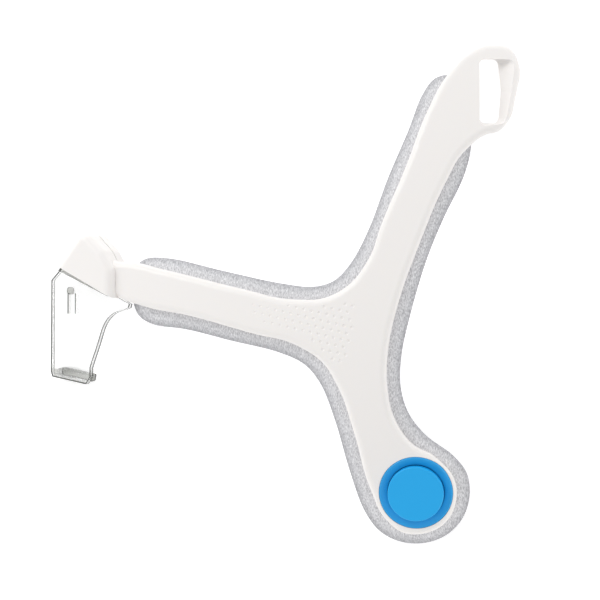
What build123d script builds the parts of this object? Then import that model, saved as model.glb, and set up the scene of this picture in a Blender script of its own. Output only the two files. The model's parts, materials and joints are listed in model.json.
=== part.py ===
from build123d import *
import math
import os

os.makedirs("parts", exist_ok=True)

# ---------------------------------------------------------------- driving dimensions, mm and degrees
R_SKIN = 210.0        # radius of the cheek side of the pad
PAD_T = 6.0           # pad thickness
COVER_T = 0.6         # knitted cover
LINER_T = 0.8         # stiffening sheet inside the cover, on the arm's side
CORE_INSET = 1.7      # foam and stiffening sheet stop short of the pad's soft edge by this
SHELL_T = 3.8         # arm thickness
EDGE_R = 2.0          # rounding of the arm's outer edge
HOOK_T = 0.9          # hook fastener let into the arm's back
LEAN = 12.57          # the facing plane, on which the outlines are drawn, leans this much about Y
BASE = (3.93, -0.26, 22.56)  # where the facing plane's origin stands
CROWN = (55.5, -1.5)  # where the domes are square to the facing plane

STRAP_SLOT = 19.3     # clear length of the strap slot, for 19 mm webbing
BUTTON_AT = (39.4, -59.4)
RING_R = 11.1         # blue ring
CAP_R = 8.45          # blue push cap
CAP_GAP = 0.22        # between the cap and the ring
TRAVEL = 1.4          # press travel
CAP_TOP = 1.6         # the cap's face over the arm's face
BEAR = -2.15          # floor of the button's seat, below the arm's face
STEM_R = 2.0
STEM_FIT = 0.05       # radial running clearance of the stem in its guide
BLADE_T = 2.2         # clear blade plate
LIP_DEPTH = 5.7       # from the blade's face to the end of its lip
TONGUE = 6.5          # how far the blade goes into its socket
HOUSING_H = 6.6       # housing above the arm's back
SCREW_R = 1.0         # M2 screws of the socket
SCREW_A = (-51.6, 3.9)     # into the arm's end, on the facing plane
SCREW_B = (-56.6, 14.4)    # into the housing

R_BACK = R_SKIN + PAD_T
R_FRONT = R_BACK + SHELL_T

# outlines on the facing plane
ARM = [(70.4, 69.3), (69.4, 59.5), (67.4, 52.5), (64.4, 49.2), (59.9, 47.8), (56.2, 45.2), (53.2, 42.2), (48.2, 33.4), (40.1, 14.4), (34.5, -1.2), (31.3, -14.9), (30.8, -26.7), (32.9, -36.7), (37.4, -43.6), (46.3, -49.4), (50.8, -54.8), (51.5, -61.9), (48.5, -68.1), (42.4, -71.5), (35.5, -71.3), (30.2, -67.1), (25.5, -57.5), (20.8, -41.1), (16.3, -28.2), (11.1, -20.0), (4.0, -15.3), (-10.8, -11.2), (-28.3, -6.3), (-42.2, -3.4), (-50.7, -0.2), (-55.0, 4.4), (-54.0, 9.3), (-47.3, 9.9), (-34.7, 7.3), (-14.9, 2.4), (3.0, -1.3), (11.8, -0.9), (19.2, 3.0), (24.7, 9.9), (29.6, 22.6), (36.2, 38.0), (42.6, 54.6), (48.4, 65.4), (55.0, 72.5), (61.8, 75.2), (67.9, 73.9)]
PAD = [(56.0, 44.5), (53.8, 35.7), (47.6, 22.8), (42.6, 10.5), (38.1, -4.5), (35.1, -18.1), (34.9, -27.7), (37.2, -35.3), (42.3, -41.9), (50.7, -48.2), (54.7, -53.4), (55.6, -60.2), (53.5, -67.0), (48.8, -72.0), (42.1, -74.5), (34.8, -74.1), (28.6, -70.9), (24.0, -64.7), (19.8, -53.4), (15.0, -37.1), (10.8, -26.6), (6.1, -20.9), (-1.4, -17.3), (-16.4, -13.6), (-29.5, -10.3), (-39.8, -8.7), (-44.1, -5.8), (-45.9, 0.5), (-45.1, 7.8), (-42.0, 10.8), (-34.7, 11.0), (-18.6, 7.3), (-1.1, 3.5), (8.9, 2.5), (15.0, 4.4), (20.2, 10.0), (25.4, 20.0), (31.1, 35.2), (37.1, 49.2), (41.5, 60.3), (45.3, 65.1), (49.8, 66.0), (53.8, 62.9), (55.6, 56.5)]
LOBE = [(-67.7, 8.8, 4.6), (-60.0, 19.7, 4.6), (-54.2, 13.2, 4.6), (-51.4, 7.6, 4.6), (-51.4, -0.9, 4.6)]  # with heights over the socket plane
LOBE_ROUND = [3.0, 4.5, 3.5]
LOBE_EDGE = 2.3       # rounding of the housing's top edge
BLADE = [(-67.35, 8.1), (-70.35, 4.5), (-70.5, -23.1), (-70.05, -24.6), (-60.15, -26.85), (-58.8, -24.6), (-58.8, -21.9), (-58.05, -19.5), (-56.55, -15.0), (-55.65, -12.0), (-54.9, -9.75), (-53.85, -7.7), (-52.35, -6.0), (-50.25, -4.85), (-48.4, -4.35), (-47.2, -3.8), (-46.9, -2.7)]
DIMPLED = [(-11.85, -2.1), (4.65, -3.3), (20.55, -2.7), (20.25, -12.0), (18.75, -17.1), (16.65, -22.5), (14.55, -19.5), (10.65, -15.6), (6.75, -12.6), (-0.45, -9.9), (-6.75, -7.8)]

# ---------------------------------------------------------------- planes
lean = math.radians(LEAN)
facing = Plane(origin=BASE, x_dir=(math.cos(lean), 0, -math.sin(lean)), z_dir=(math.sin(lean), 0, math.cos(lean)))
dome = facing.from_local_coords(Vector(CROWN[0], CROWN[1], -R_SKIN))  # centre of every domed surface


def out_at(x, y, r):
    """Unit vector out of the dome of radius r, above the facing plane's point (x, y)."""
    dx, dy = x - CROWN[0], y - CROWN[1]
    local = Vector(dx, dy, math.sqrt(r * r - dx * dx - dy * dy)) / r
    return facing.from_local_coords(local) - facing.origin


def tangent_plane(x, y, r):
    normal = out_at(x, y, r)
    across = facing.x_dir - normal * facing.x_dir.dot(normal)
    return Plane(origin=dome + normal * r, x_dir=across, z_dir=normal)


def drop(plane, x, y, h=0.0):
    """Where the facing plane's point (x, y) falls on the plane's level h, in the plane's own x and y."""
    start = facing.from_local_coords(Vector(x, y, 0))
    level = plane.offset(h)
    t = (level.origin - start).dot(level.z_dir) / facing.z_dir.dot(level.z_dir)
    local = level.to_local_coords(start + facing.z_dir * t)
    return (local.X, local.Y)


def arc_loop(points):
    """A smooth closed line of circular arcs, two between each pair of points."""
    n = len(points)
    tangents = []
    for i in range(n):
        (ax, ay), (bx, by), (cx, cy) = points[i - 1], points[i], points[(i + 1) % n]
        d1, d2 = math.hypot(bx - ax, by - ay), math.hypot(cx - bx, cy - by)
        tx = (bx - ax) / d1 * d2 + (cx - bx) / d2 * d1
        ty = (by - ay) / d1 * d2 + (cy - by) / d2 * d1
        size = math.hypot(tx, ty)
        tangents.append((tx / size, ty / size))
    for i in range(n):
        p, q = points[i], points[(i + 1) % n]
        t, u = tangents[i], tangents[(i + 1) % n]
        vx, vy = q[0] - p[0], q[1] - p[1]
        along = vx * (t[0] + u[0]) + vy * (t[1] + u[1])
        turn = 2 * (1 - (t[0] * u[0] + t[1] * u[1]))
        chord = vx * vx + vy * vy
        d = chord / (4 * (vx * u[0] + vy * u[1])) if turn < 1e-9 else (-along + math.sqrt(along * along + turn * chord)) / turn
        a = (p[0] + t[0] * d, p[1] + t[1] * d)
        b = (q[0] - u[0] * d, q[1] - u[1] * d)
        m = ((a[0] + b[0]) / 2, (a[1] + b[1]) / 2)
        w = math.hypot(b[0] - a[0], b[1] - a[1])
        for start, tan, end in ((p, t, m), (m, ((b[0] - a[0]) / w, (b[1] - a[1]) / w), q)):
            ex, ey = end[0] - start[0], end[1] - start[1]
            c = math.hypot(ex, ey)
            half = math.atan2(tan[0] * ey - tan[1] * ex, tan[0] * ex + tan[1] * ey)
            sag = c / 2 * math.tan(half / 2)
            ThreePointArc(start, ((start[0] + end[0]) / 2 + ey / c * sag, (start[1] + end[1]) / 2 - ex / c * sag), end)


def trim_to_dome(inner, outer):
    """Keeps what lies between two domes, inside the builder that calls it."""
    with Locations(dome):
        Sphere(outer, rotation=(90, 0, 0), mode=Mode.INTERSECT)
        Sphere(inner, rotation=(90, 0, 0), mode=Mode.SUBTRACT)


def inside(x, y, polygon):
    hit = False
    for i in range(len(polygon)):
        (x1, y1), (x2, y2) = polygon[i - 1], polygon[i]
        if (y1 > y) != (y2 > y) and x < (x2 - x1) * (y - y1) / (y2 - y1) + x1:
            hit = not hit
    return hit


def save(builder, name):
    builder.part.label = name
    export_step(builder.part, f"parts/{name}.step")


socket = tangent_plane(-56.0, 2.0, R_BACK)                 # the blade and its socket lie on this plane
seat = tangent_plane(BUTTON_AT[0], BUTTON_AT[1], R_FRONT)   # the button works square to this plane
loop = tangent_plane(63.5, 61.0, R_BACK)                    # the strap slot is cut square to this plane


def button_disc(radius, low, high, mode=Mode.ADD):
    """A disc round the button's axis between two heights over the arm's face."""
    with BuildSketch(seat.offset(low)) as disc:
        Circle(radius)
    extrude(disc.sketch, amount=high - low, mode=mode)


# ---------------------------------------------------------------- hook fastener strips in the arm's back
def hook_strip(x, y, angle, length, width):
    with BuildSketch(facing.offset(-90)) as strip:
        with Locations(Location((x, y, 0), (0, 0, angle))):
            SlotOverall(length, width)
    extrude(strip.sketch, amount=120)
    trim_to_dome(R_BACK, R_BACK + HOOK_T)


with BuildPart() as hook_strip_cheek:
    hook_strip(-21.0, -1.7, -12.5, 40.0, 7.0)
with BuildPart() as hook_strip_temple:
    hook_strip(40.5, 30.0, 68.0, 42.0, 8.0)
with BuildPart() as hook_strip_jaw:
    hook_strip(25.0, -34.0, -81.0, 24.0, 8.5)

# ---------------------------------------------------------------- arm shell
SLOT_BACK = [(58.5, 51.5), (64.1, 51.5), (64.9, 61.0), (64.2, 70.7), (58.5, 70.7)]
SLOT_FRONT = [(58.5, 50.6), (66.6, 51.3), (68.2, 61.0), (69.5, 70.7), (58.5, 70.9)]


def slot_profile(h):
    """The strap slot's outline at height h over the arm's back, in the loop plane."""
    k = h / SHELL_T
    shape = []
    for (bx, by), (fx, fy) in zip(SLOT_BACK, SLOT_FRONT):
        b, f = drop(loop, bx, by, 0), drop(loop, fx, fy, SHELL_T)
        shape.append((b[0] + (f[0] - b[0]) * k, b[1] + (f[1] - b[1]) * k))
    return shape


dimples = []
pitch, row, slope = 2.35, 2.1, math.radians(-13)
origin_x, origin_y = (342 - 284.5) * 0.3, (295 - 318) * 0.3
for j in range(-14, 15):
    for i in range(-22, 12):
        u = (i + 0.5 * (j % 2)) * pitch
        v = j * row
        x = origin_x + u * math.cos(slope) - v * math.sin(slope)
        y = origin_y + u * math.sin(slope) + v * math.cos(slope)
        if inside(x, y, DIMPLED):
            dimples.append((x, y, 0.38 + 0.18 * min(1.0, max(0.0, (x + 12) / 22))))

with BuildPart() as arm_shell:
    with BuildSketch(facing.offset(-90)):
        with BuildLine():
            arc_loop(ARM)
        make_face()
    extrude(amount=120)
    trim_to_dome(R_BACK, R_FRONT)
    front = arm_shell.faces().filter_by(GeomType.SPHERE).sort_by_distance(facing.from_local_coords(Vector(CROWN[0], CROWN[1], 60)))[0]
    fillet(front.outer_wire().edges(), EDGE_R)
    # strap slot, wider at the front, with a sloped bar on its outer side
    with BuildSketch(loop.offset(-1.0)):
        with BuildLine():
            Polyline(*slot_profile(-1.0), close=True)
        make_face()
        fillet(vertices(), 1.7)
    with BuildSketch(loop.offset(SHELL_T + 1.0)):
        with BuildLine():
            Polyline(*slot_profile(SHELL_T + 1.0), close=True)
        make_face()
        fillet(vertices(), 1.7)
    loft(ruled=True, mode=Mode.SUBTRACT)
    # button seat: counterbore in front, spring well through it, spot face behind
    button_disc(RING_R + 0.1, BEAR, 4.0, Mode.SUBTRACT)
    button_disc(5.2, -6.0, 0.0, Mode.SUBTRACT)
    button_disc(9.6, -7.0, -SHELL_T, Mode.SUBTRACT)
    with Locations(seat):
        with PolarLocations(7.4, 3, 90):
            with Locations((0, 0, -2.4)):
                Cylinder(0.62, 3.2, mode=Mode.SUBTRACT, align=(Align.CENTER, Align.CENTER, Align.CENTER))
    add(hook_strip_cheek.part, mode=Mode.SUBTRACT)
    add(hook_strip_temple.part, mode=Mode.SUBTRACT)
    add(hook_strip_jaw.part, mode=Mode.SUBTRACT)
    # insert bore in the hidden end
    with Locations(socket):
        with Locations((*drop(socket, *SCREW_A), -1.0)):
            Cylinder(1.5, 4.0, mode=Mode.SUBTRACT, align=(Align.CENTER, Align.CENTER, Align.MIN))
    for x, y, r in dimples:
        with Locations(dome + out_at(x, y, R_FRONT) * (R_FRONT + 0.56)):
            Sphere(math.sqrt(0.56 ** 2 + r * r), mode=Mode.SUBTRACT)
save(arm_shell, "arm_shell")
for strip, name in ((hook_strip_cheek, "hook_strip_cheek"), (hook_strip_temple, "hook_strip_temple"), (hook_strip_jaw, "hook_strip_jaw")):
    save(strip, name)

# ---------------------------------------------------------------- end housing and its socket
BLADE_H = -0.2        # the blade's face, below the arm's back
PLATE_LOW = -4.6      # the socket plate's outer face
lobe = [drop(socket, x, y, h) for x, y, h in LOBE]


def lobe_block(low, high):
    """The lobe's outline, run on past the blade's seam and rounded at every corner."""
    (ax, ay), (bx, by), (ex, ey), (fx, fy) = lobe[0], lobe[1], lobe[3], lobe[4]
    corners = [(ax + (ax - bx) * 0.45, ay + (ay - by) * 0.45), *lobe[1:4], (fx + (fx - ex) * 0.5, fy + (fy - ey) * 0.5)]
    with BuildSketch(socket.offset(low)) as block:
        with BuildLine():
            Polyline(*corners, close=True)
        make_face()
        for (x, y), r in zip(corners, [3.0] + LOBE_ROUND + [3.0]):
            fillet(block.vertices().sort_by_distance(Vector(x, y, 0))[0], r)
    extrude(block.sketch, amount=high - low)


def cut_at_seam(low, high):
    """Cuts the lobe off straight along the blade's seam."""
    (ax, ay), (fx, fy) = lobe[0], lobe[4]
    sx, sy = (fx - ax), (fy - ay)
    with BuildSketch(socket.offset(low)) as below:
        with BuildLine():
            Polyline((ax - sx, ay - sy), (fx + sx, fy + sy), (fx + sx + sy, fy + sy - sx), (ax - sx + sy, ay - sy - sx), close=True)
        make_face()
    extrude(below.sketch, amount=high - low, mode=Mode.SUBTRACT)


def at_blade(x, y, h=BLADE_H):
    return drop(socket, x, y, h)


def clear_of_pad(gap):
    """Cuts away what stands closer than gap to the pad's end."""
    with BuildSketch(facing.offset(-60)) as pad_end:
        with BuildLine():
            arc_loop(PAD)
        make_face()
        offset(amount=gap)
    extrude(pad_end.sketch, amount=90, mode=Mode.SUBTRACT)


def along_seam(s, t=0.0):
    """s along the seam from its outer end, then t into the socket."""
    return (lobe[0][0] + seam_x * s + slide_x * t, lobe[0][1] + seam_y * s + slide_y * t)


a0, a1 = at_blade(-60.0, 0.0), at_blade(-60.0 - 4.85, -8.74)
size = math.hypot(a0[0] - a1[0], a0[1] - a1[1])
slide_x, slide_y = (a0[0] - a1[0]) / size, (a0[1] - a1[1]) / size      # into the socket, in the socket plane
size = math.hypot(lobe[4][0] - lobe[0][0], lobe[4][1] - lobe[0][1])
seam_x, seam_y = (lobe[4][0] - lobe[0][0]) / size, (lobe[4][1] - lobe[0][1]) / size

foot_l, foot_r = along_seam(5.0), along_seam(13.0)                      # the blade's tongue
head_l, head_r = along_seam(5.0, TONGUE), along_seam(13.0, TONGUE)

with BuildPart() as end_housing:
    lobe_block(0, HOUSING_H)
    rim = end_housing.faces().sort_by_distance(socket.origin + socket.z_dir * 60)[0]
    fillet(rim.outer_wire().edges(), LOBE_EDGE)
    cut_at_seam(-1, HOUSING_H + 1)
    add(arm_shell.part, mode=Mode.SUBTRACT)
    with Locations(socket):
        for x, y in (drop(socket, *SCREW_A), drop(socket, *SCREW_B)):
            with Locations((x, y, -0.5)):
                Cylinder(1.5, 3.7, mode=Mode.SUBTRACT, align=(Align.CENTER, Align.CENTER, Align.MIN))
save(end_housing, "end_housing")

with BuildPart() as socket_plate:
    lobe_block(PLATE_LOW, 0)
    under = socket_plate.faces().sort_by_distance(socket.origin - socket.z_dir * 60)[0]
    chamfer(under.outer_wire().edges(), 0.6)
    cut_at_seam(PLATE_LOW - 1, 1)
    with Locations(dome):
        Sphere(R_BACK - 0.02, rotation=(90, 0, 0), mode=Mode.INTERSECT)
    clear_of_pad(0.5)
    # the blade's pocket, open towards the mouth
    with BuildSketch(socket.offset(BLADE_H - BLADE_T - 0.1)):
        with BuildLine():
            reach = 30.0
            gap = 0.12
            Polyline(
                (foot_l[0] - slide_x * reach - slide_y * gap, foot_l[1] - slide_y * reach + slide_x * gap),
                (head_l[0] + (slide_x * 0.3) - slide_y * gap, head_l[1] + (slide_y * 0.3) + slide_x * gap),
                (head_r[0] + (slide_x * 0.3) + slide_y * gap, head_r[1] + (slide_y * 0.3) - slide_x * gap),
                (foot_r[0] - slide_x * reach + slide_y * gap, foot_r[1] - slide_y * reach - slide_x * gap),
                close=True,
            )
        make_face()
    extrude(amount=6.0, mode=Mode.SUBTRACT)
    with Locations(socket):
        for x, y in (drop(socket, *SCREW_A), drop(socket, *SCREW_B)):
            with Locations((x, y, PLATE_LOW)):
                Cylinder(SCREW_R + 0.1, 6.0, mode=Mode.SUBTRACT, align=(Align.CENTER, Align.CENTER, Align.MIN))
                Cylinder(1.9, 1.2, mode=Mode.SUBTRACT, align=(Align.CENTER, Align.CENTER, Align.MIN))
    # seat for the blade's leaf
    leaf_x, leaf_y = (foot_l[0] + foot_r[0]) / 2 + slide_x * 3.9, (foot_l[1] + foot_r[1]) / 2 + slide_y * 3.9
    leaf_plane = Plane(
        origin=socket.from_local_coords(Vector(leaf_x, leaf_y, BLADE_H - BLADE_T - 0.1)),
        x_dir=socket.x_dir * slide_x + socket.y_dir * slide_y,
        z_dir=socket.z_dir,
    )
    with BuildSketch(leaf_plane):
        Rectangle(6.4, 3.4)
    extrude(amount=-0.7, mode=Mode.SUBTRACT)
save(socket_plate, "socket_plate")

# bowed retaining leaf: stands in the seat, its crown just touching the blade's back
leaf_side = Plane(origin=leaf_plane.origin + leaf_plane.y_dir * 1.4, x_dir=leaf_plane.x_dir, z_dir=-leaf_plane.y_dir)
with BuildPart() as retaining_leaf:
    with BuildSketch(leaf_side):
        with BuildLine():
            ThreePointArc((-2.9, -0.68), (0, -0.2), (2.9, -0.68))
            Line((2.9, -0.68), (2.9, -0.43))
            ThreePointArc((2.9, -0.43), (0, 0.05), (-2.9, -0.43))
            Line((-2.9, -0.43), (-2.9, -0.68))
        make_face()
    extrude(amount=2.8)
save(retaining_leaf, "retaining_leaf")

# ---------------------------------------------------------------- retractor blade
blade = [at_blade(x, y) for x, y in BLADE]
with BuildPart() as retractor_blade:
    with BuildSketch(socket.offset(BLADE_H)) as blade_sk:
        with BuildLine():
            Polyline(*blade[:7])
            Spline(*blade[6:15])
            Polyline(blade[14], blade[15], blade[16], along_seam(18.6, -0.6), along_seam(13.0, -0.2), head_r, head_l, along_seam(5.0, -0.2), along_seam(-0.5, -0.2), blade[0])
        make_face()
    extrude(amount=-BLADE_T)
    # lip: turns away from the face along the plate's end
    (lx, ly), (rx, ry) = blade[3], blade[4]
    ex, ey = rx - lx, ry - ly
    edge = math.hypot(ex, ey)
    ex, ey = ex / edge, ey / edge
    rise = 1.0
    with BuildSketch(socket.offset(BLADE_H - BLADE_T / 2)):
        with BuildLine():
            Polyline((lx, ly), (rx, ry), (rx - ey * 2.4, ry + ex * 2.4), (lx - ey * 2.4, ly + ex * 2.4), close=True)
        make_face()
        fillet(vertices(), 0.4)
    with BuildSketch(socket.offset(BLADE_H - LIP_DEPTH)):
        with BuildLine():
            Polyline(
                (lx - ey * rise, ly + ex * rise), (rx - ey * rise, ry + ex * rise),
                (rx - ey * (2.2 + rise), ry + ex * (2.2 + rise)), (lx - ey * (2.2 + rise), ly + ex * (2.2 + rise)), close=True)
        make_face()
        fillet(vertices(), 0.4)
    loft(ruled=True)
    # shoulder along the housing, tapering towards the cheek
    with BuildSketch(socket.offset(BLADE_H - 0.3)) as shoulder:
        with BuildLine():
            Polyline(blade[0], along_seam(-0.5, -0.25), along_seam(17.0, -0.25), along_seam(17.0, -1.7), (blade[0][0] * 0.8 + blade[1][0] * 0.2, blade[0][1] * 0.8 + blade[1][1] * 0.2), close=True)
        make_face()
    extrude(shoulder.sketch, amount=1.1)
    clear_of_pad(0.35)
    # small slot near the socket, with a round nib over its upper end
    with BuildSketch(socket.offset(BLADE_H + 1)):
        with Locations(at_blade(-64.35, -2.5)):
            Rectangle(2.6, 6.2)
    extrude(amount=-6, mode=Mode.SUBTRACT)
    with Locations(socket):
        with Locations((*at_blade(-64.35, 1.3), BLADE_H - 0.3)):
            Cylinder(1.15, 1.0, align=(Align.CENTER, Align.CENTER, Align.MIN))
save(retractor_blade, "retractor_blade")

# ---------------------------------------------------------------- socket screws and their inserts
with BuildPart() as socket_screws:
    with Locations(socket):
        for x, y in (drop(socket, *SCREW_A), drop(socket, *SCREW_B)):
            with Locations((x, y, PLATE_LOW + 0.1)):
                Cylinder(1.7, 1.1, align=(Align.CENTER, Align.CENTER, Align.MIN))
                Cylinder(SCREW_R - 0.04, 7.0, align=(Align.CENTER, Align.CENTER, Align.MIN))
                Cylinder(0.6, 0.6, mode=Mode.SUBTRACT, align=(Align.CENTER, Align.CENTER, Align.MIN))
save(socket_screws, "socket_screws")
with BuildPart() as thread_inserts:
    with Locations(socket):
        for (x, y), low in ((drop(socket, *SCREW_A), -0.05), (drop(socket, *SCREW_B), 0.0)):
            with Locations((x, y, low)):
                Cylinder(1.48, 3.0, align=(Align.CENTER, Align.CENTER, Align.MIN))
                Cylinder(SCREW_R, 3.0, mode=Mode.SUBTRACT, align=(Align.CENTER, Align.CENTER, Align.MIN))
save(thread_inserts, "thread_inserts")

# ---------------------------------------------------------------- button
GUIDE_LOW, GUIDE_HIGH = -6.2, -3.4
with BuildPart() as button_ring:
    with BuildSketch(Plane(origin=seat.origin, x_dir=seat.x_dir, z_dir=-seat.y_dir)):
        with BuildLine():
            Polyline((5.3, BEAR), (RING_R, BEAR), (RING_R, -0.4), (RING_R - 0.3, -0.1), (CAP_R + CAP_GAP, -0.7), (CAP_R + CAP_GAP, BEAR + 0.45), (5.3, BEAR + 0.45), close=True)
        make_face()
    revolve(axis=Axis(seat.origin, seat.z_dir))
save(button_ring, "button_ring")
with BuildPart() as button_cap:
    button_disc(CAP_R, -0.2, CAP_TOP)
    cap_top = button_cap.faces().sort_by_distance(seat.origin + seat.z_dir * 50)[0]
    fillet(cap_top.edges(), 0.35)
    button_disc(4.5, -0.2, 0.35, Mode.SUBTRACT)
    button_disc(3.0, -1.2, 0.35)
    button_disc(1.5, -1.3, 0.35, Mode.SUBTRACT)
save(button_cap, "button_cap")
with BuildPart() as button_stem:
    button_disc(1.5, -1.2, 0.35)
    button_disc(STEM_R, -7.6, -1.2)
    with BuildSketch(seat.offset(-6.85)):
        Circle(STEM_R + 0.1)
        Circle(STEM_R - 0.45, mode=Mode.SUBTRACT)
    extrude(amount=0.62, mode=Mode.SUBTRACT)
save(button_stem, "button_stem")
with BuildPart() as stem_clip:
    with BuildSketch(seat.offset(-6.84)):
        Circle(3.3)
        Circle(STEM_R - 0.45, mode=Mode.SUBTRACT)
        with Locations((0, -3)):
            Rectangle(1.9, 4.4, mode=Mode.SUBTRACT)
    extrude(amount=0.6)
save(stem_clip, "stem_clip")
with BuildPart() as button_cup:
    button_disc(9.3, -SHELL_T - 1.0, -SHELL_T)
    button_disc(6.2, GUIDE_LOW, -SHELL_T)
    button_disc(5.2, GUIDE_LOW + 1.0, 0.0, Mode.SUBTRACT)
    button_disc(2.9, GUIDE_LOW, GUIDE_HIGH)
    button_disc(STEM_R + STEM_FIT, GUIDE_LOW - 1, GUIDE_HIGH + 1, Mode.SUBTRACT)
    with Locations(seat):
        with PolarLocations(7.4, 3, 90):
            with Locations((0, 0, -4.4)):
                Cylinder(0.7, 3.0, mode=Mode.SUBTRACT)
save(button_cup, "button_cup")
with BuildPart() as cup_screws:
    with Locations(seat):
        with PolarLocations(7.4, 3, 90):
            with Locations((0, 0, -SHELL_T - 1.0)):
                Cylinder(1.2, 0.7, align=(Align.CENTER, Align.CENTER, Align.MAX))
                Cylinder(0.6, 2.6, align=(Align.CENTER, Align.CENTER, Align.MIN))
save(cup_screws, "cup_screws")
with BuildPart() as button_spring:
    wire_r, coil_r = 0.28, 3.75
    low, high = GUIDE_LOW + 1.02 + wire_r, 0.33 - wire_r
    with BuildLine() as coil:
        Helix((high - low) / 3.5, high - low, coil_r, center=seat.origin + seat.z_dir * low, direction=seat.z_dir)
    with BuildSketch(Plane(origin=coil.line @ 0, z_dir=coil.line % 0)):
        Circle(wire_r)
    sweep(path=coil.line)
save(button_spring, "button_spring")

# ---------------------------------------------------------------- pad
def pad_layer(inner, outer, inset):
    """The pad's outline, drawn in by inset, between two domes."""
    with BuildSketch(facing.offset(-90)) as layer:
        with BuildLine():
            arc_loop(PAD)
        make_face()
        if inset:
            offset(amount=-inset)
    extrude(layer.sketch, amount=120)
    trim_to_dome(inner, outer)


WELL_LOW = -9.15      # the button's well in the pad, below the arm's face
with BuildPart() as pad_core:
    pad_layer(R_SKIN + COVER_T, R_BACK - COVER_T, COVER_T)
with BuildPart() as pad_cover:
    pad_layer(R_SKIN, R_BACK, 0)
    skin = pad_cover.faces().filter_by(GeomType.SPHERE).sort_by_distance(dome)[0]
    fillet(skin.outer_wire().edges(), 0.5)
    add(pad_core.part, mode=Mode.SUBTRACT)
    button_disc(10.2, WELL_LOW, -2.0, Mode.SUBTRACT)
save(pad_cover, "pad_cover")
with BuildPart() as pad_liner:
    pad_layer(R_BACK - COVER_T - LINER_T, R_BACK - COVER_T, CORE_INSET)
    button_disc(10.2, WELL_LOW, -2.0, Mode.SUBTRACT)
save(pad_liner, "pad_liner")
with BuildPart() as pad_foam:
    pad_layer(R_SKIN + COVER_T, R_BACK - COVER_T - LINER_T, CORE_INSET)
    button_disc(10.2, WELL_LOW, -2.0, Mode.SUBTRACT)
save(pad_foam, "pad_foam")
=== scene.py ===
import json
import math
import random

import bmesh
import bpy
from mathutils import Matrix, Vector
from mathutils.geometry import delaunay_2d_cdt

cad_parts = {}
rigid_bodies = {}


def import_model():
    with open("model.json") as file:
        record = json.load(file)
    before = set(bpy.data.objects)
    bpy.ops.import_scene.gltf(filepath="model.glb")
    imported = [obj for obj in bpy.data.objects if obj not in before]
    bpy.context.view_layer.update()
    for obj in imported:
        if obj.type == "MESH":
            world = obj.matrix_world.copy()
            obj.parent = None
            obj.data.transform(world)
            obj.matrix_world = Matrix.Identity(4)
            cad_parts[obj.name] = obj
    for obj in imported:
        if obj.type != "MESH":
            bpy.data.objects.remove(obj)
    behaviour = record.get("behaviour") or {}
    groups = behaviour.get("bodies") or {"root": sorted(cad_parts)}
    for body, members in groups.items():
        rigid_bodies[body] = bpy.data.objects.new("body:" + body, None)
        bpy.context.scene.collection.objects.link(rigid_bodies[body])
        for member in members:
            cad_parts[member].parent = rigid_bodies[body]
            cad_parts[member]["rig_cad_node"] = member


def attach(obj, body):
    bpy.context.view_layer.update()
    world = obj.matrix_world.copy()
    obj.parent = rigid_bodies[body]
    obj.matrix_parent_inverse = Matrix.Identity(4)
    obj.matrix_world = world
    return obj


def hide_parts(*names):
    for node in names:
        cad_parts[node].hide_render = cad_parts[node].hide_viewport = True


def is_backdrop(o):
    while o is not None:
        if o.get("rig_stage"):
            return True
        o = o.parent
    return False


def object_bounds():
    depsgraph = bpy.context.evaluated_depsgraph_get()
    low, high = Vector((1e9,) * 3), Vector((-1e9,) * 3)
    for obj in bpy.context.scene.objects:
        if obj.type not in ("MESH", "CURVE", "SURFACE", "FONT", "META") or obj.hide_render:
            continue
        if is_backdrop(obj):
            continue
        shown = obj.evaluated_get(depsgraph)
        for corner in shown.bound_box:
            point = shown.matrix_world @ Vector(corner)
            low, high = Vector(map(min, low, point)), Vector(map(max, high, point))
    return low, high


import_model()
size_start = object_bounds()

# ------------------------------------------------------------------ shared frame, mm -> m
MM = 0.001
LEAN = math.radians(12.57)
BASE = Vector((3.93, -0.26, 22.56))
XV = Vector((math.cos(LEAN), 0, -math.sin(LEAN)))
YV = Vector((0, 1, 0))
ZV = Vector((math.sin(LEAN), 0, math.cos(LEAN)))
CROWN = (55.5, -1.5)
R_SKIN, PAD_T = 210.0, 6.0
R_BACK = R_SKIN + PAD_T

PAD = [(56.0, 44.5), (53.8, 35.7), (47.6, 22.8), (42.6, 10.5), (38.1, -4.5), (35.1, -18.1), (34.9, -27.7), (37.2, -35.3), (42.3, -41.9), (50.7, -48.2), (54.7, -53.4), (55.6, -60.2), (53.5, -67.0), (48.8, -72.0), (42.1, -74.5), (34.8, -74.1), (28.6, -70.9), (24.0, -64.7), (19.8, -53.4), (15.0, -37.1), (10.8, -26.6), (6.1, -20.9), (-1.4, -17.3), (-16.4, -13.6), (-29.5, -10.3), (-39.8, -8.7), (-44.1, -5.8), (-45.9, 0.5), (-45.1, 7.8), (-42.0, 10.8), (-34.7, 11.0), (-18.6, 7.3), (-1.1, 3.5), (8.9, 2.5), (15.0, 4.4), (20.2, 10.0), (25.4, 20.0), (31.1, 35.2), (37.1, 49.2), (41.5, 60.3), (45.3, 65.1), (49.8, 66.0), (53.8, 62.9), (55.6, 56.5)]


def on_view(x, y, z):
    return (BASE + XV * x + YV * y + ZV * z) * MM


def on_dome(x, y, r):
    dx, dy = x - CROWN[0], y - CROWN[1]
    return on_view(x, y, math.sqrt(r * r - dx * dx - dy * dy) - R_SKIN)


# ------------------------------------------------------------------ materials
def material(name):
    m = bpy.data.materials.new(name)
    m.use_nodes = True
    nt = m.node_tree
    bsdf = nt.nodes["Principled BSDF"]
    return m, nt, bsdf


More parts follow.
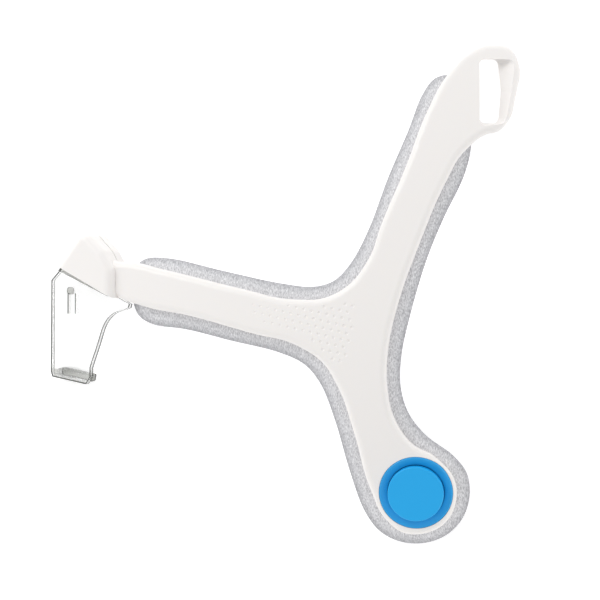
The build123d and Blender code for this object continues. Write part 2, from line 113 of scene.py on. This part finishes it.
def plastic(name, color, rough=0.35, coat=0.0, sss=0.0, grain=0.0):
    m, nt, b = material(name)
    b.inputs["Base Color"].default_value = (*color, 1)
    b.inputs["Roughness"].default_value = rough
    b.inputs["Coat Weight"].default_value = coat
    b.inputs["Subsurface Weight"].default_value = sss
    b.inputs["Subsurface Radius"].default_value = (0.002, 0.0018, 0.0015)
    noise = nt.nodes.new("ShaderNodeTexNoise")
    noise.inputs["Scale"].default_value = 900
    noise.inputs["Detail"].default_value = 2
    coords = nt.nodes.new("ShaderNodeTexCoord")
    nt.links.new(coords.outputs["Object"], noise.inputs["Vector"])
    ramp = nt.nodes.new("ShaderNodeMapRange")
    ramp.inputs["To Min"].default_value = max(0.02, rough - 0.03)
    ramp.inputs["To Max"].default_value = rough + 0.03
    nt.links.new(noise.outputs["Fac"], ramp.inputs["Value"])
    nt.links.new(ramp.outputs["Result"], b.inputs["Roughness"])
    if grain:
        bump = nt.nodes.new("ShaderNodeBump")
        bump.inputs["Strength"].default_value = grain
        bump.inputs["Distance"].default_value = 0.00005
        nt.links.new(noise.outputs["Fac"], bump.inputs["Height"])
        nt.links.new(bump.outputs["Normal"], b.inputs["Normal"])
    return m


def metal(name, color, rough=0.28):
    m, nt, b = material(name)
    b.inputs["Base Color"].default_value = (*color, 1)
    b.inputs["Metallic"].default_value = 1.0
    b.inputs["Roughness"].default_value = rough
    return m


def knit(name, dark, light, scale=1.0, rim=None):
    """Heather knit: dark and light fibres mixed in short vertical dashes, over fine loops; given a rim colour,
    painted shade darkens it towards the pad's edge.
    """
    m, nt, b = material(name)
    L = nt.links
    coords = nt.nodes.new("ShaderNodeTexCoord")
    stretch = nt.nodes.new("ShaderNodeMapping")
    stretch.inputs["Scale"].default_value = (3600 * scale, 1300 * scale, 700 * scale)
    L.new(coords.outputs["Object"], stretch.inputs["Vector"])
    fibre = nt.nodes.new("ShaderNodeTexNoise")
    fibre.inputs["Scale"].default_value = 1.0
    fibre.inputs["Detail"].default_value = 3
    fibre.inputs["Roughness"].default_value = 0.7
    L.new(stretch.outputs["Vector"], fibre.inputs["Vector"])
    blotch = nt.nodes.new("ShaderNodeTexNoise")
    blotch.inputs["Scale"].default_value = 1500 * scale
    blotch.inputs["Detail"].default_value = 2
    L.new(coords.outputs["Object"], blotch.inputs["Vector"])
    mix = nt.nodes.new("ShaderNodeMix")
    mix.data_type = "FLOAT"
    mix.inputs[0].default_value = 0.12
    L.new(fibre.outputs["Fac"], mix.inputs[2])
    L.new(blotch.outputs["Fac"], mix.inputs[3])
    ramp = nt.nodes.new("ShaderNodeValToRGB")
    ramp.color_ramp.elements[0].position = 0.34
    ramp.color_ramp.elements[0].color = (*dark, 1)
    ramp.color_ramp.elements[1].position = 0.64
    ramp.color_ramp.elements[1].color = (*light, 1)
    L.new(mix.outputs[0], ramp.inputs["Fac"])
    if rim:
        # painted shade: the knit's colour is multiplied darker towards the pad's edge, where its rounded rim turns
        # from the light and meets the arm
        edge = nt.nodes.new("ShaderNodeAttribute")
        edge.attribute_name = "edge"
        shade = nt.nodes.new("ShaderNodeMix")
        shade.data_type = "RGBA"
        shade.blend_type = "MULTIPLY"
        shade.inputs[0].default_value = 1.0
        painted_shade_ramp = nt.nodes.new("ShaderNodeValToRGB")
        painted_shade_ramp.color_ramp.elements[0].color = (*rim, 1)
        painted_shade_ramp.color_ramp.elements[1].color = (1, 1, 1, 1)
        L.new(edge.outputs["Fac"], painted_shade_ramp.inputs["Fac"])
        L.new(ramp.outputs["Color"], shade.inputs[6])
        L.new(painted_shade_ramp.outputs["Color"], shade.inputs[7])
        L.new(shade.outputs[2], b.inputs["Base Color"])
    else:
        L.new(ramp.outputs["Color"], b.inputs["Base Color"])
    b.inputs["Roughness"].default_value = 0.95
    b.inputs["Specular IOR Level"].default_value = 0.1
    bump = nt.nodes.new("ShaderNodeBump")
    bump.inputs["Strength"].default_value = 0.5
    bump.inputs["Distance"].default_value = 0.00012
    L.new(mix.outputs[0], bump.inputs["Height"])
    L.new(bump.outputs["Normal"], b.inputs["Normal"])
    return m


def clear(name, color, rough, alpha, cloud, through=1.0):
    """Clear moulding plastic: lets most light straight through, with faint flow marks in its gloss."""
    m, nt, b = material(name)
    b.inputs["Base Color"].default_value = (*color, 1)
    b.inputs["IOR"].default_value = 1.49
    b.inputs["Transmission Weight"].default_value = through
    b.inputs["Alpha"].default_value = alpha
    coords = nt.nodes.new("ShaderNodeTexCoord")
    flow = nt.nodes.new("ShaderNodeTexNoise")
    flow.inputs["Scale"].default_value = 160
    flow.inputs["Detail"].default_value = 1
    nt.links.new(coords.outputs["Object"], flow.inputs["Vector"])
    span = nt.nodes.new("ShaderNodeMapRange")
    span.inputs["To Min"].default_value = rough
    span.inputs["To Max"].default_value = rough + cloud
    nt.links.new(flow.outputs["Fac"], span.inputs["Value"])
    nt.links.new(span.outputs["Result"], b.inputs["Roughness"])
    return m


white = plastic("white_plastic", (0.90, 0.875, 0.855), 0.38, sss=0.08)
blue = plastic("blue_plastic", (0.004, 0.41, 0.87), 0.45)
# painted shade: the ring is a darker copy of the cap's blue, standing in for the shade in its dished recess
blue_shaded = plastic("blue_ring_painted_shade", (0.010, 0.37, 0.80), 0.45)
clear_plastic = clear("clear_plastic", (0.99, 1.0, 0.995), 0.01, 0.30, 0.03)
# painted dark reflections: dark and grey copies of the clear plastic for the blade's rim, its lip band and the
# lines seen through the plate
clear_painted_dark_edge = clear("clear_plastic_painted_dark_edge", (0.045, 0.048, 0.042), 0.35, 0.88, 0.15, through=0.0)
clear_painted_grey_line = clear("clear_plastic_painted_grey_line", (0.55, 0.56, 0.53), 0.05, 0.45, 0.10)
clear_painted_dark_lip = clear("clear_plastic_painted_dark_lip", (0.11, 0.115, 0.095), 0.10, 0.66, 0.10)
# the cushion's knit carries painted shade, darker towards its rim
shaded_cushion_knit = knit("grey_knit", (0.44, 0.44, 0.46), (0.90, 0.90, 0.92), rim=(0.62, 0.62, 0.63))
grey_knit = knit("grey_knit_inner", (0.44, 0.44, 0.46), (0.90, 0.90, 0.92))
foam = plastic("foam", (0.8, 0.78, 0.72), 0.9)
liner = plastic("liner_plastic", (0.7, 0.7, 0.7), 0.6)
hook = knit("hook_nylon", (0.55, 0.55, 0.53), (0.8, 0.8, 0.78))
stem = plastic("stem_plastic", (0.85, 0.85, 0.83), 0.45)
steel = metal("steel", (0.62, 0.62, 0.63))
brass = metal("brass", (0.78, 0.6, 0.28))

LOOKS = {
    "arm_shell": white, "end_housing": white, "socket_plate": white, "button_cup": white,
    "button_ring": blue_shaded, "button_cap": blue, "button_stem": stem, "stem_clip": steel,
    "button_spring": steel, "cup_screws": steel, "socket_screws": steel, "thread_inserts": brass,
    "retaining_leaf": steel, "retractor_blade": clear_plastic, "hook_strip_cheek": hook,
    "hook_strip_temple": hook, "hook_strip_jaw": hook, "pad_cover": grey_knit, "pad_liner": liner, "pad_foam": foam,
}


def paint(obj, mat):
    obj.data.materials.clear()
    obj.data.materials.append(mat)


nodes = {o["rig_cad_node"]: o for o in bpy.data.objects if "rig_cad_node" in o and o.type == "MESH"}
for name, mat in LOOKS.items():
    paint(nodes[name], mat)

# ------------------------------------------------------------------ pad: a stuffed, knitted cushion
def smooth_outline(points, count):
    """Even points along a closed centripetal curve through the given ones."""
    n = len(points)
    dense = []
    for i in range(n):
        p0, p1, p2, p3 = (Vector(points[(i + k - 1) % n]) for k in range(4))
        d1, d2, d3 = (max(1e-6, (b - a).length) ** 0.5 for a, b in ((p0, p1), (p1, p2), (p2, p3)))
        m1 = ((p1 - p0) / d1 - (p2 - p0) / (d1 + d2) + (p2 - p1) / d2) * d2
        m2 = ((p2 - p1) / d2 - (p3 - p1) / (d2 + d3) + (p3 - p2) / d3) * d2
        for s in range(40):
            t = s / 40
            dense.append(p1 * (2 * t**3 - 3 * t**2 + 1) + m1 * (t**3 - 2 * t**2 + t) + p2 * (-2 * t**3 + 3 * t**2) + m2 * (t**3 - t**2))
    lengths = [0.0]
    for a, b in zip(dense, dense[1:] + dense[:1]):
        lengths.append(lengths[-1] + (b - a).length)
    out, k = [], 0
    for i in range(count):
        target = lengths[-1] * i / count
        while lengths[k + 1] < target:
            k += 1
        f = (target - lengths[k]) / (lengths[k + 1] - lengths[k])
        out.append(dense[k].lerp(dense[(k + 1) % len(dense)], f))
    return out


OUT = smooth_outline(PAD, 720)
INS = [0.1, 0.3, 0.6, 1.0, 1.5, 2.1, 2.8, 3.5]
ROUND = 3.5


def ring(d):
    n = len(OUT)
    pts = []
    for i in range(n):
        t = (OUT[(i + 2) % n] - OUT[i - 2]).normalized()
        pts.append(OUT[i] + Vector((t.y, -t.x)) * d * SIDE)
    return pts


area = sum(OUT[i - 1].x * OUT[i].y - OUT[i].x * OUT[i - 1].y for i in range(len(OUT))) / 2
SIDE = 1.0 if area < 0 else -1.0
rings = [ring(d) for d in [0.0] + INS]


def crown(d):
    """Half thickness at a distance in from the edge: 0 at the rim, full inside."""
    k = min(1.0, d / ROUND)
    return (1 - (1 - k) ** 2.1) ** (1 / 2.1)


def is_inside(p, poly):
    hit = False
    j = len(poly) - 1
    for i in range(len(poly)):
        a, b = poly[i], poly[j]
        if (a.y > p[1]) != (b.y > p[1]) and p[0] < (b.x - a.x) * (p[1] - a.y) / (b.y - a.y) + a.x:
            hit = not hit
        j = i
    return hit


inner = rings[-1]
coarse = inner[::3]
grid = []
step = 1.6
shrunk = ring(INS[-1] + 1.0)[::3]
y = -76.0
while y < 68:
    x = -48.0
    while x < 58:
        if is_inside((x, y), shrunk):
            grid.append(Vector((x, y)))
        x += step
    y += step
verts2d = [Vector(p) for p in inner] + grid
edges = [(i, (i + 1) % len(inner)) for i in range(len(inner))]
v_out, e_out, f_out, *_ = delaunay_2d_cdt(verts2d, edges, [], 1, 1e-5)


def pad_mesh():
    n = len(OUT)
    verts, faces = [], []
    for i, p in enumerate(rings[0]):
        verts.append(on_dome(p.x, p.y, R_SKIN + PAD_T / 2))
    starts = {}
    for side in (1, -1):
        for k, d in enumerate(INS):
            starts[(side, k)] = len(verts)
            for p in rings[k + 1]:
                verts.append(on_dome(p.x, p.y, R_SKIN + PAD_T / 2 + side * (PAD_T / 2 - 0.02) * crown(d)))
        prev = 0
        for k in range(len(INS)):
            s = starts[(side, k)]
            for i in range(n):
                j = (i + 1) % n
                quad = (prev + i, prev + j, s + j, s + i)
                faces.append(quad if side * SIDE > 0 else quad[::-1])
            prev = s
        base = len(verts)
        last = starts[(side, len(INS) - 1)]
        where = []
        for i, p in enumerate(v_out):
            if i < n:
                where.append(last + i)
            else:
                where.append(len(verts))
                verts.append(on_dome(p.x, p.y, R_SKIN + PAD_T / 2 + side * (PAD_T / 2 - 0.02)))
        for f in f_out:
            tri = tuple(where[i] for i in f)
            faces.append(tri if side > 0 else tri[::-1])
    me = bpy.data.meshes.new("pad_cushion")
    me.from_pydata(verts, [], faces)
    # the 'edge' attribute is the mask of the painted shade at the pad's rim: 0 at the rim, rising to 1 at 1.9 mm in
    edge = me.attributes.new("edge", "FLOAT", "POINT")
    for i in range(len(verts)):
        edge.data[i].value = 1.0
    for i in range(n):
        edge.data[i].value = 0.0
    for (side, k), s in starts.items():
        for i in range(n):
            edge.data[s + i].value = min(1.0, INS[k] / 1.9)
    bm = bmesh.new()
    bm.from_mesh(me)
    bmesh.ops.recalc_face_normals(bm, faces=bm.faces)
    bm.to_mesh(me)
    bm.free()
    me.update()
    for p in me.polygons:
        p.use_smooth = True
    return me


cushion = bpy.data.objects.new("pad_cushion", pad_mesh())
bpy.context.collection.objects.link(cushion)
paint(cushion, shaded_cushion_knit)
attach(cushion, "pad")
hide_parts("pad_cover")

# ------------------------------------------------------------------ clear blade, its rim darker at both corners with painted dark reflections
src = nodes["retractor_blade"]
blade = src.copy()
blade.data = src.data.copy()
blade.name = "blade_clear"
for key in list(blade.keys()):
    del blade[key]
bpy.context.collection.objects.link(blade)
bpy.context.view_layer.update()
world = src.matrix_world.copy()
blade.parent = None
blade.matrix_world = world
spin = world.to_3x3()
PLATE_N = Vector((-0.31747, 0.0162, 0.94813)).normalized()
PLATE_O = Vector((-0.05618, 0.00174, 0.01031))
bm = bmesh.new()
bm.from_mesh(blade.data)
bmesh.ops.transform(bm, matrix=world, verts=bm.verts)
bmesh.ops.remove_doubles(bm, verts=bm.verts, dist=1e-6)
# the rim is split level by level, so that its two corners and its middle can carry different painted dark
# reflections
for level in (-0.2 - 0.65, -2.4 + 0.65, -5.9 + 0.6):
    bmesh.ops.bisect_plane(bm, geom=bm.verts[:] + bm.edges[:] + bm.faces[:], dist=1e-7, plane_co=PLATE_O + PLATE_N * level * MM, plane_no=PLATE_N)


def on_plate(x, y):
    start = on_view(x, y, 0)
    return start + ZV * ((PLATE_O - PLATE_N * 0.2 * MM - start).dot(PLATE_N) / ZV.dot(PLATE_N))


# the straight sides are seen again through the plate: a dark line and a fainter one inside it, both painted
# reflections
CORNERS = [(-67.35, 8.1), (-70.35, 4.5), (-70.5, -23.1), (-70.05, -24.6), (-60.15, -26.85)]
SIDES = []
for p, q in zip(CORNERS, CORNERS[1:]):
    a, b = on_plate(*p), on_plate(*q)
    inward = PLATE_N.cross(b - a).normalized()
    if (on_plate(-62, -10) - a).dot(inward) < 0:
        inward = -inward
    SIDES.append((a, inward))
    for away in (0.38, 1.05, 1.3, 2.4):
        bmesh.ops.bisect_plane(bm, geom=bm.verts[:] + bm.edges[:] + bm.faces[:], dist=1e-7, plane_co=a + inward * away * MM, plane_no=inward)
SLOT_AT = on_plate(-64.35, -1.5)
bmesh.ops.transform(bm, matrix=world.inverted(), verts=bm.verts)
bm.to_mesh(blade.data)
bm.free()
paint(blade, clear_plastic)
blade.data.materials.append(clear_painted_dark_edge)
blade.data.materials.append(clear_painted_dark_lip)
blade.data.materials.append(clear_painted_grey_line)
# faces take the painted dark reflections by their height in the plate and their distance from its straight sides
for p in blade.data.polygons:
    p.use_smooth = False
    normal = (spin @ p.normal).normalized()
    height = (world @ p.center - PLATE_O).dot(PLATE_N)
    steep = abs(normal.dot(PLATE_N))
    from_lip = (world @ p.center - SIDES[-1][0]).dot(SIDES[-1][1])
    if height < -0.0053 and steep < 0.95:
        p.material_index = 1
    elif height < -0.0025 or height < -0.0018 and from_lip < 0.0024:
        p.material_index = 2
    elif height > 0.0001:
        p.material_index = 2
    elif steep < 0.5:
        in_slot = (world @ p.center - SLOT_AT).length < 0.0055
        p.material_index = 1 if height > -0.00085 or height < -0.00175 and not in_slot else 3
    elif height > -0.001:
        near = min((world @ p.center - a).dot(inward) for a, inward in SIDES)
        p.material_index = 1 if near < 0.00038 else 3 if 0.00105 < near < 0.0013 else 0
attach(blade, "blade")
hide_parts("retractor_blade")

# ------------------------------------------------------------------ floor, lights, camera
floor_mesh = bpy.data.meshes.new("floor")
floor_mesh.from_pydata([(-3, -3, 0), (3, -3, 0), (3, 3, 0), (-3, 3, 0)], [], [(0, 1, 2, 3)])
floor = bpy.data.objects.new("floor", floor_mesh)
bpy.context.collection.objects.link(floor)
fm, fnt, fb = material("floor")
fb.inputs["Base Color"].default_value = (0.93, 0.93, 0.93, 1)
fb.inputs["Roughness"].default_value = 0.9
fb.inputs["Specular IOR Level"].default_value = 0.1
fb.inputs["Emission Color"].default_value = (1, 1, 1, 1)
fb.inputs["Emission Strength"].default_value = 0.36
paint(floor, fm)
floor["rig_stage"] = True

CENTRE = on_view(4.65, -1.5, 0)
CAM = CENTRE + ZV * 6.0
cam_data = bpy.data.cameras.new("camera")
cam_data.sensor_width = 36
cam_data.lens = 1200
cam_data.clip_start = 0.1
camera = bpy.data.objects.new("camera", cam_data)
bpy.context.collection.objects.link(camera)
camera.matrix_world = Matrix((
    (XV.x, YV.x, ZV.x, CAM.x),
    (XV.y, YV.y, ZV.y, CAM.y),
    (XV.z, YV.z, ZV.z, CAM.z),
    (0, 0, 0, 1),
))
bpy.context.scene.camera = camera


def lamp(name, place, target, power, size, color=(1, 1, 1)):
    data = bpy.data.lights.new(name, "AREA")
    data.energy = power
    data.shape = "DISK"
    data.size = size
    data.color = color
    o = bpy.data.objects.new(name, data)
    bpy.context.collection.objects.link(o)
    o.location = place
    o.rotation_euler = (Vector(target) - Vector(place)).to_track_quat("-Z", "Y").to_euler()
    return o


lamp("key", (-0.55, 0.65, 0.70), (0, 0, 0), 2.5, 0.35)
lamp("top", (0.05, 0.1, 1.3), (0, 0, 0), 1.0, 1.2)
for i, power in enumerate((0.9, 0.95, 1.05, 1.1, 0.95, 0.85)):
    turn = math.radians(60 * i + 15)
    lamp(f"side_{i}", (0.9 * math.cos(turn), 0.9 * math.sin(turn), 0.38), (0, 0, 0.01), power, 0.5)

world_bg = bpy.data.worlds.new("studio")
world_bg.use_nodes = True
world_bg.node_tree.nodes["Background"].inputs["Color"].default_value = (1, 1, 1, 1)
world_bg.node_tree.nodes["Background"].inputs["Strength"].default_value = 0.57
bpy.context.scene.world = world_bg
bpy.context.scene.view_settings.view_transform = "Standard"

size_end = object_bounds()


def plain(v):
    if isinstance(v, dict):
        return {k: plain(x) for k, x in v.items()}
    if isinstance(v, (str, int, float, bool)) or v is None:
        return v
    return [plain(x) for x in v]


{"start": plain(size_start), "end": plain(size_end)}
